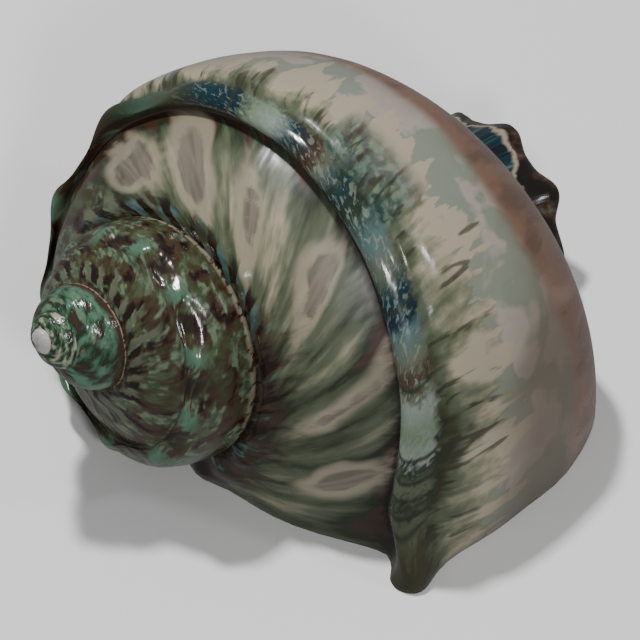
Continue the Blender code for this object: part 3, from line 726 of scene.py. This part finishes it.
class Paint:
    """A material with short names for the shader nodes it is made of."""

    def __init__(self, name):
        self.material = bpy.data.materials.new(name)
        self.material.use_nodes = True
        self.tree = self.material.node_tree
        self.shader = self.tree.nodes["Principled BSDF"]

    def put(self, socket, value):
        if isinstance(value, bpy.types.NodeSocket):
            self.tree.links.new(value, socket)
        elif isinstance(value, tuple) and len(value) == 3 and socket.type == "RGBA":
            socket.default_value = (*value, 1.0)
        else:
            socket.default_value = value

    def node(self, kind, values=(), **settings):
        node = self.tree.nodes.new("ShaderNode" + kind)
        for name, value in settings.items():
            setattr(node, name, value)
        for name, value in dict(values).items():
            self.put(node.inputs[name], value)
        return node

    def attribute(self, name):
        return self.node("Attribute", attribute_name=name).outputs["Fac"]

    def math(self, operation, *values):
        return self.node("Math", enumerate(values), operation=operation).outputs[0]

    def add(self, *values):
        total = values[0]
        for value in values[1:]:
            total = self.math("ADD", total, value)
        return total

    def times(self, *values):
        total = values[0]
        for value in values[1:]:
            total = self.math("MULTIPLY", total, value)
        return total

    def less(self, first, second):
        return self.math("SUBTRACT", first, second)

    def step(self, value, low, high, amount=1.0):
        """Zero below low, the amount above high, also where low is the larger of the two."""
        settings = {"Value": value, "From Min": low, "From Max": high, "To Max": amount}
        return self.node("MapRange", settings, interpolation_type="SMOOTHSTEP").outputs["Result"]

    def hill(self, value, middle, width, amount=1.0):
        """The amount at the middle, zero at a width away from it."""
        away = self.math("ABSOLUTE", self.less(value, middle))
        return self.step(away, width, 0.0, amount)

    def wave(self, value, spacing, phase=0.0):
        """A train of waves from zero to one."""
        turned = self.times(self.less(value, phase), tau / spacing)
        return self.add(self.times(self.math("COSINE", turned), 0.5), 0.5)

    def vector(self, x, y, z=0.0):
        return self.node("CombineXYZ", {"X": x, "Y": y, "Z": z}).outputs[0]

    def stretched(self, line, place, along, across, offset=0.0):
        """A place in a pattern that follows the growth."""
        return self.vector(self.times(line, along), self.times(place, across), offset)

    def noise(self, vector, scale, detail, twist=0.0):
        values = {"Vector": vector, "Scale": scale, "Detail": detail, "Distortion": twist}
        return self.node("TexNoise", values).outputs["Fac"]

    def pattern(self, kind, line, place):
        """One of the noises that follow the growth."""
        along, across, offset, detail, twist = kind
        return self.noise(self.stretched(line, place, along, across, offset), 1.0, detail, twist)

    def cells(self, kind, line, place):
        """How far a point is from the middle of its cell."""
        values = {"Vector": self.stretched(line, place, *kind), "Scale": 1.0}
        return self.node("TexVoronoi", values).outputs["Distance"]

    def sway(self, noise, amount):
        """A noise about its mean, times an amount."""
        return self.times(self.less(noise, 0.5), amount)

    def sum_of(self, shares, *values):
        """Values added up, each times its share."""
        return self.add(*(self.times(value, share) for value, share in zip(values, shares)))

    def mix(self, factor, first, second):
        node = self.node("Mix", data_type="RGBA")
        self.put(node.inputs[0], factor)
        self.put(node.inputs[6], first)
        self.put(node.inputs[7], second)
        return node.outputs[2]

    def over(self, colour, new, *factors):
        """A new colour laid over a colour, as strongly as the product of the factors."""
        return self.mix(self.times(*factors), colour, new)

    def ramp(self, value, stops):
        """A colour for a value, from pairs of value and colour."""
        node = self.node("ValToRGB", {"Fac": value})
        elements = node.color_ramp.elements
        while len(elements) < len(stops):
            elements.new(0.5)
        for element, (position, colour) in zip(elements, stops):
            element.position = position
            element.color = (*colour, 1.0)
        return node.outputs["Color"]

    def finish(self, colour, roughness, height=None):
        self.put(self.shader.inputs["Base Color"], colour)
        self.put(self.shader.inputs["Roughness"], roughness)
        if height is not None:
            bump_node = self.node("Bump", {"Height": height, "Distance": RELIEF_DEPTH, "Strength": 1.0})
            self.put(self.shader.inputs["Normal"], bump_node.outputs["Normal"])


def mottled_colour(paint, line, place, blots, specks):
    """The second last whorl: dark mottling with patches of green."""
    dark = paint.ramp(paint.sum_of(MOTTLING_SHARES, blots, specks), MOTTLED_TONES)
    patches = paint.add(paint.pattern(SPIRE_PATCHES, line, place), paint.sway(specks, SPIRE_RAGS))
    return paint.over(dark, paint.ramp(specks, PATCH_TONES), paint.step(patches, *PATCH_EDGE))


def early_colour(paint, line, place, specks):
    """The early whorls: clouds and chips of green, and brown towards the lower suture."""
    clouds = paint.add(paint.pattern(EARLY_CLOUDS, line, place), paint.sway(specks, SPIRE_RAGS))
    colour = paint.ramp(clouds, EARLY_TONES)
    chips = paint.add(paint.cells(EARLY_CHIPS, line, place), paint.times(specks, CHIP_RAGS))
    colour = paint.over(colour, PALE_GREEN, paint.step(chips, *CHIP_EDGE))
    return paint.over(colour, BROWN, paint.step(place, *EARLY_FOOT))


def spire_bars(paint, line, place, blots, specks, early, colour):
    """Dark bars under the suture, with pale ones between."""
    ragged = paint.add(line, paint.times(specks, EARLY_BAR_RAGS))
    bars = paint.wave(ragged, EARLY_BAR_SPACING)
    reach = paint.add(place, paint.times(blots, EARLY_BAR_SPREAD))
    barred = paint.times(paint.step(reach, *EARLY_BARS_END), paint.step(place, *EARLY_BARS_START))
    barred = paint.times(barred, paint.less(1.0, early))
    colour = paint.over(colour, GREY_GREEN, barred, paint.step(bars, *EARLY_PALE_BARS))
    return paint.over(colour, DARK_BROWN, barred, paint.step(bars, *EARLY_DARK_BARS))


def spire_nodules(paint, turn, place, blots, specks, early, colour):
    """Nodules on the keel: a painted highlight of bright green on each crest, and painted shade of dark brown
    in the hollow behind each.
    """
    keel = paint.hill(place, KEEL, NODULE_REACH)
    ragged = paint.add(turn, paint.times(blots, NODULE_RAGS))
    crest = paint.wave(ragged, NODULE_SPACING / tau, NODULE_PHASE / tau)
    strength = paint.less(PAINTED_HOLLOW_SHADE, paint.times(early, EARLY_PAINTED_SHADE_FADING))
    # Painted shade: dark brown in the hollows between the nodules, weaker on the early whorls
    colour = paint.over(colour, DARK_BROWN, keel, paint.step(crest, *PAINTED_HOLLOW_SHADE_EDGE), strength)
    # Painted highlight: bright green on the nodules' crests
    painted_crest_highlight = paint.step(paint.add(crest, paint.times(specks, PAINTED_CREST_HIGHLIGHT_RAGS)), *PAINTED_CREST_HIGHLIGHT_EDGE)
    return paint.over(colour, BRIGHT_GREEN, keel, painted_crest_highlight)


def spire_colour(paint, line, place, turn):
    """The whorls before the last one, down to the white, worn tip."""
    blots = paint.pattern(SPIRE_BLOTS, line, place)
    specks = paint.pattern(SPIRE_SPECKS, line, place)
    early = paint.step(turn, *EARLY_WHORLS)
    mottled = mottled_colour(paint, line, place, blots, specks)
    colour = paint.mix(early, mottled, early_colour(paint, line, place, specks))
    colour = spire_bars(paint, line, place, blots, specks, early, colour)
    colour = spire_nodules(paint, turn, place, blots, specks, early, colour)
    # A thin pale cord along the lower suture
    colour = paint.over(colour, CREAM, paint.hill(place, *LOWER_CORD), paint.step(specks, *LOWER_CORD_BREAKS))
    checks = paint.ramp(paint.pattern(TIP_CHECKS, line, place), TIP_TONES)
    colour = paint.over(colour, checks, paint.step(turn, *FIRST_WHORLS))
    return paint.over(colour, WORN_WHITE, paint.step(turn, *WORN_TIP))


def ramp_lean(paint, line, place):
    """How much greener it is near keel and suture, and towards the lip and the back."""
    keel_side_lean = paint.add(KEEL_SIDE_LEAN, paint.step(line, *KEEL_SIDE_EARLIER))
    return paint.add(
        paint.times(paint.step(place, *KEEL_SIDE), keel_side_lean),
        paint.step(place, *SUTURE_SIDE),
        paint.step(line, *TOWARDS_LIP),
        paint.step(line, *TOWARDS_BACK),
    )


def ramp_colour(paint, line, place, patch):
    """Between suture and keel: cream with hanging green streaks and windows of bare nacre."""
    flow = paint.add(line, paint.times(place, RAMP_SLANT))
    streaks = paint.pattern(RAMP_STREAKS, flow, place)
    clouds = paint.pattern(RAMP_CLOUDS, flow, place)
    tone = paint.sum_of(RAMP_SHARES, streaks, clouds, paint.pattern(RAMP_GRIT, flow, place))
    foot = paint.times(paint.step(place, *CORD_FOOT), paint.step(line, *CORD_FOOT_EARLIER))
    colour = paint.ramp(paint.add(tone, RAMP_LEAN, ramp_lean(paint, line, place), foot), RAMP_TONES)
    # Windows: a cream rim around grey nacre, with ragged outlines
    edge = paint.add(patch, paint.sway(streaks, WINDOW_STREAKS), paint.sway(clouds, WINDOW_CLOUDS))
    rim = paint.add(edge, paint.sway(clouds, RIM_CLOUDS))
    colour = paint.over(colour, CREAM, paint.step(rim, *RIM_EDGE))
    return paint.over(colour, paint.ramp(streaks, WINDOW_TONES), paint.step(edge, *WINDOW_EDGE))


def crown_colour(paint, line, place, colour):
    """The pleats: dark bars with aqua and green between, and brown smears towards the lip."""
    specks = paint.pattern(CROWN_SPECKS, line, place)
    blots = paint.pattern(CROWN_BLOTS, line, place)
    slanted = paint.add(line, paint.times(place, BAR_SLANT), paint.times(specks, BAR_RAGS))
    bars = paint.wave(slanted, BAR_SPACING, BAR_PHASE)
    reach = paint.add(place, paint.times(blots, BAR_SPREAD))
    pale = paint.mix(paint.step(blots, *BETWEEN_BARS), AQUA, GREEN)
    colour = paint.over(colour, pale, paint.step(reach, *PALE_BARS_END), paint.step(bars, *PALE_BARS))
    barred = paint.times(paint.step(reach, *DARK_BARS_END), paint.step(line, *DARK_BARS_FADE))
    colour = paint.over(colour, DARK_BROWN, barred, paint.step(bars, *DARK_BARS))
    smears = paint.pattern(CROWN_SMEARS, line, place)
    reach = paint.add(place, paint.times(smears, SMEAR_SPREAD))
    smeared = paint.times(paint.step(reach, *SMEARS_END), paint.step(line, *SMEARS_START))
    return paint.over(colour, paint.ramp(smears, SMEAR_TONES), smeared)


def cord_colour(paint, turn, place, specks):
    """Blocks of teal and white along the keel's cord, with pale flecks and dark growth rests."""
    off_middle = paint.less(place, CORD_PLACE)
    sag = paint.times(off_middle, off_middle, REST_SAG)
    rests = paint.add(paint.add(turn, CORD_LINE), sag)
    blocks = paint.add(rests, paint.sway(specks, BLOCK_RAGS))
    start = KEEL_BLOCKS[0][0]
    span = KEEL_BLOCKS[-1][0] - start
    stops = [((at - start) / span, tone) for at, tone in KEEL_BLOCKS]
    colour = paint.ramp(paint.times(paint.less(blocks, start), 1 / span), stops)
    flecked = paint.times(paint.step(rests, *FLECKS_START), paint.step(rests, *FLECKS_END))
    colour = paint.over(colour, PALE_BLUE, flecked, paint.step(specks, *FLECK_EDGE))
    for at in GROWTH_RESTS:
        colour = paint.over(colour, DEEP_GREEN, paint.hill(rests, at, REST_WIDTH, REST_STRENGTH))
    return colour


def keel_colour(paint, turn, line, place, colour):
    """The keel: its cord, painted shade in the groove inside it and painted shade at its end towards the
    knob.
    """
    specks = paint.pattern(KEEL_SPECKS, line, place)
    width = paint.add(place, paint.sway(specks, CORD_RAGS))
    on_cord = paint.times(paint.step(width, *CORD_INNER_EDGE), paint.step(width, *CORD_OUTER_EDGE))
    on_cord = paint.times(on_cord, paint.step(line, *CORD_START))
    colour = paint.over(colour, cord_colour(paint, turn, place, specks), on_cord)
    # Painted shade: dark olive on the keel's end by the knob, next to the floor
    knob_painted_shade = paint.times(paint.step(line, *KNOB_PAINTED_SHADE_START), paint.hill(place, *KNOB_PAINTED_SHADE))
    colour = paint.over(colour, DARK_OLIVE, knob_painted_shade)
    # Painted shade: black-brown in the groove inside the cord
    groove_painted_shade = paint.times(paint.hill(width, *GROOVE_PAINTED_SHADE), paint.step(line, *GROOVE_PAINTED_SHADE_START))
    return paint.over(colour, BLACK_BROWN, groove_painted_shade)


def washed_colour(paint, line, place, tone, streaks, grit, colour):
    """A wash of teal beside the cord, with brown stripes."""
    washed = paint.add(paint.hill(line, *WASH), paint.sway(tone, WASH_RAGS))
    washed = paint.times(paint.step(washed, *WASH_EDGE), paint.step(place, *WASH_OUTER_EDGE))
    washed = paint.times(washed, paint.step(place, *WASH_INNER_EDGE))
    colour = paint.over(colour, paint.ramp(grit, WASH_TONES), washed, WASH_STRENGTH)
    striped = paint.times(paint.step(streaks, *STRIPE_EDGE), paint.step(place, *STRIPES_START))
    return paint.over(colour, BROWN, washed, striped)


def nacre_colour(paint, line, place, tone, streaks, clouds, colour):
    """Bare nacre with a ragged border and painted shade towards the base, then a brown band."""
    border = paint.add(place, paint.sway(tone, BORDER_TONE), paint.sway(streaks, BORDER_STREAKS))
    mist = paint.add(paint.pattern(NACRE_MIST, line, place), paint.hill(border, *BORDER_MIST))
    colour = paint.over(colour, paint.ramp(mist, NACRE_TONES), paint.step(border, *NACRE_EDGE))
    # Painted shade: the nacre darkens on the shell's lower side, towards the base and the lip
    painted_shade = paint.add(place, paint.step(line, *PAINTED_SHADE_TOWARDS_LIP), paint.sway(clouds, PAINTED_SHADE_CLOUDS))
    colour = paint.over(colour, NACRE_PAINTED_SHADE, paint.step(painted_shade, *PAINTED_SHADE_EDGE))
    band = paint.add(place, paint.step(line, *BAND_TOWARDS_LIP), paint.sway(clouds, BAND_CLOUDS))
    brown = paint.ramp(paint.pattern(BAND_VEINS, line, place), BAND_TONES)
    return paint.over(colour, brown, paint.step(band, *BAND_EDGE))


def flank_colour(paint, line, place):
    """Outside the keel: green streaks and dark dashes that run out into cream, then bare nacre."""
    streaks = paint.pattern(FLANK_STREAKS, line, place)
    clouds = paint.pattern(FLANK_CLOUDS, line, place)
    grit = paint.pattern(FLANK_GRIT, line, place)
    tone = paint.sum_of(FLANK_SHARES, streaks, clouds, grit)
    fringe = paint.add(tone, paint.step(line, *FLANK_AGEING), paint.step(place, *FLANK_PALING), FLANK_LEAN)
    colour = paint.ramp(fringe, FLANK_TONES)
    colour = washed_colour(paint, line, place, tone, streaks, grit, colour)
    dashes = paint.pattern(FLANK_DASHES, line, place)
    dashes = paint.add(dashes, paint.sway(clouds, DASH_CLOUDS), paint.step(place, *DASHES_FADE))
    colour = paint.over(colour, DARK_OLIVE, paint.step(dashes, *DASH_EDGE))
    return nacre_colour(paint, line, place, tone, streaks, clouds, colour)


def base_colour(paint, line, place, colour):
    """The base is bare nacre. The channel by the pillar is teal, the pillar's nodular ridge is dark brown."""
    specks = paint.pattern(BASE_SPECKS, line, place)
    wide = paint.add(place, paint.sway(specks, BASE_RAGS), paint.step(line, *BASE_WIDENING))
    colour = paint.over(colour, DEEP_GREEN, paint.step(wide, *CHANNEL_RIM))
    channel = paint.ramp(paint.pattern(CHANNEL_LINES, line, place), CHANNEL_TONES)
    colour = paint.over(colour, channel, paint.step(wide, *CHANNEL_EDGE))
    spots = paint.noise(paint.node("TexCoord").outputs["Object"], PILLAR_SPOTS, PILLAR_DETAIL)
    colour = paint.over(colour, paint.ramp(spots, PILLAR_TONES), paint.step(wide, *PILLAR_EDGE))
    return paint.over(colour, CREAM, paint.hill(wide, *PILLAR_LINE))


def shell_colour(paint, turn, line, place, side, patch):
    """All parts of the pattern."""
    crown = crown_colour(paint, line, place, ramp_colour(paint, line, place, patch))
    colour = paint.over(crown, flank_colour(paint, line, place), paint.step(place, *FLANK_START))
    colour = keel_colour(paint, turn, line, place, colour)
    colour = base_colour(paint, line, place, colour)
    weave = paint.pattern(BORDER_WEAVE, line, place)
    ragged = paint.add(line, paint.times(weave, WEAVE_SHIFT))
    colour = paint.over(colour, spire_colour(paint, line, place, turn), paint.step(ragged, *SPIRE_END))
    return paint.over(colour, SILVER_NACRE, paint.step(side, *INSIDE_START))


def shell_material():
    """The pattern under a polish, satin between suture and keel and pimpled on the spire."""
    paint = Paint("polished shell")
    names = ("turn", "line", "place", "side", "patch", "size")
    turn, line, place, side, patch, size = (paint.attribute(name) for name in names)
    grain = paint.pattern(POLISH_GRAIN, line, place)
    satin = paint.times(paint.hill(place, *SATIN), paint.step(line, *SATIN_START))
    roughness = paint.add(ROUGHNESS, paint.times(grain, GRAIN_ROUGHNESS), satin)
    dents = paint.pattern(SHALLOW_DENTS, line, place)
    pimples = paint.times(paint.pattern(PIMPLES, line, place), paint.step(turn, *PIMPLES_START))
    height = paint.times(size, paint.add(dents, paint.times(grain, GRAIN_HEIGHT), pimples))
    paint.finish(shell_colour(paint, turn, line, place, side, patch), roughness, height)
    paint.put(paint.shader.inputs["Coat Weight"], COAT_WEIGHT)
    paint.put(paint.shader.inputs["Coat Roughness"], COAT_ROUGHNESS)
    return paint.material


def camera():
    """The photograph's view of the shell, from far off and through a long lens."""
    towards_viewer = Vector((0.0, -cos(VIEW_SLOPE), sin(VIEW_SLOPE)))
    right = Vector((1.0, 0.0, 0.0))
    up = towards_viewer.cross(right)
    target = Vector(APEX_PLACE) + VIEW_RIGHT_OF_APEX * right + VIEW_ABOVE_APEX * up
    data = bpy.data.cameras.new("camera")
    data.sensor_width = SENSOR_WIDTH
    data.lens = SENSOR_WIDTH * VIEW_DISTANCE / VIEW_WIDTH
    data.clip_end = VIEW_END
    eye = bpy.data.objects.new("camera", data)
    eye.matrix_world = Matrix.Translation(target + VIEW_DISTANCE * towards_viewer) @ (
        Matrix((right, up, towards_viewer)).transposed().to_4x4()
    )
    bpy.context.scene.collection.objects.link(eye)
    bpy.context.scene.camera = eye


def light(name, place, size, power):
    """A square lamp that faces the shell's middle."""
    data = bpy.data.lights.new(name, "AREA")
    data.size = size
    data.energy = power
    lamp = bpy.data.objects.new(name, data)
    lamp.location = place
    lamp.rotation_euler = (LIT_POINT - Vector(place)).to_track_quat("-Z", "Y").to_euler()
    bpy.context.scene.collection.objects.link(lamp)


def studio():
    """A pale floor, soft light from above and small lamps that make sharp glints."""
    size = FLOOR_SIZE
    mesh = bpy.data.meshes.new("floor")
    corners = [(-size, -size, 0), (size, -size, 0), (size, size, 0), (-size, size, 0)]
    mesh.from_pydata(corners, [], [(0, 1, 2, 3)])
    paint = Paint("pale floor")
    paint.finish(FLOOR_COLOUR, FLOOR_ROUGHNESS)
    mesh.materials.append(paint.material)
    floor = bpy.data.objects.new("floor", mesh)
    bpy.context.scene.collection.objects.link(floor)
    # The polish mirrors the soft sky here, not the bright floor close beside it
    floor.visible_glossy = False
    world = bpy.data.worlds.new("soft sky")
    world.use_nodes = True
    sky = world.node_tree.nodes["Background"]
    sky.inputs["Color"].default_value = SKY_COLOUR
    sky.inputs["Strength"].default_value = SKY_STRENGTH
    bpy.context.scene.world = world
    for name, (place, size, power) in LAMPS.items():
        light(name, place, size, power)


def window_field(line, place):
    """One in the middle of each window of nacre, zero on its outline and less outside."""
    field = np.full(len(line), FAR_FROM_WINDOWS)
    for at_line, at_place, length, width, slant in WINDOWS:
        along = (line - at_line - slant * (place - at_place)) / length
        across = (place - at_place) / width
        field = np.maximum(field, 1 - np.hypot(along, across))
    return field


def fitted_to_box(points):
    """The fine shell reaches a little farther than the solid, so it is drawn in to the solid's box."""
    points = np.array(points)
    low, high = points.min(axis=0), points.max(axis=0)
    box_low, box_high = (np.array(list(corner)) for corner in CAD_BOX)
    box_low[:2] += BOX_MARGIN
    box_high -= BOX_MARGIN
    return box_low + (points - low) * (box_high - box_low) / (high - low)


def make_shell():
    """The shell's fine mesh, with the values that its pattern follows."""
    skin = Skin()
    carve_hollow(skin, *grow_outside(skin))
    mesh = bpy.data.meshes.new("polished_shell")
    mesh.from_pydata(fitted_to_box(skin.points).tolist(), [], skin.faces)
    data = np.array(skin.data)
    lines = data[:, 0] + LIP_ANGLE - radians(1) * np.interp(data[:, 1], *zip(*GROWTH_LINE))
    columns = {"turn": data[:, 0] / tau, "line": lines / tau, "place": data[:, 1], "side": data[:, 2]}
    columns["patch"] = window_field(lines / tau, data[:, 1])
    columns["size"] = growth(data[:, 0])[0]
    for name, values in columns.items():
        layer = mesh.attributes.new(name, "FLOAT", "POINT")
        layer.data.foreach_set("value", values.astype(np.float32))
    mesh.shade_smooth()
    mesh.materials.append(shell_material())
    shell = bpy.data.objects.new("polished_shell", mesh)
    bpy.context.scene.collection.objects.link(shell)
    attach(shell, "root")
    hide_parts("shell")


def main():
    make_shell()
    studio()
    camera()


main()
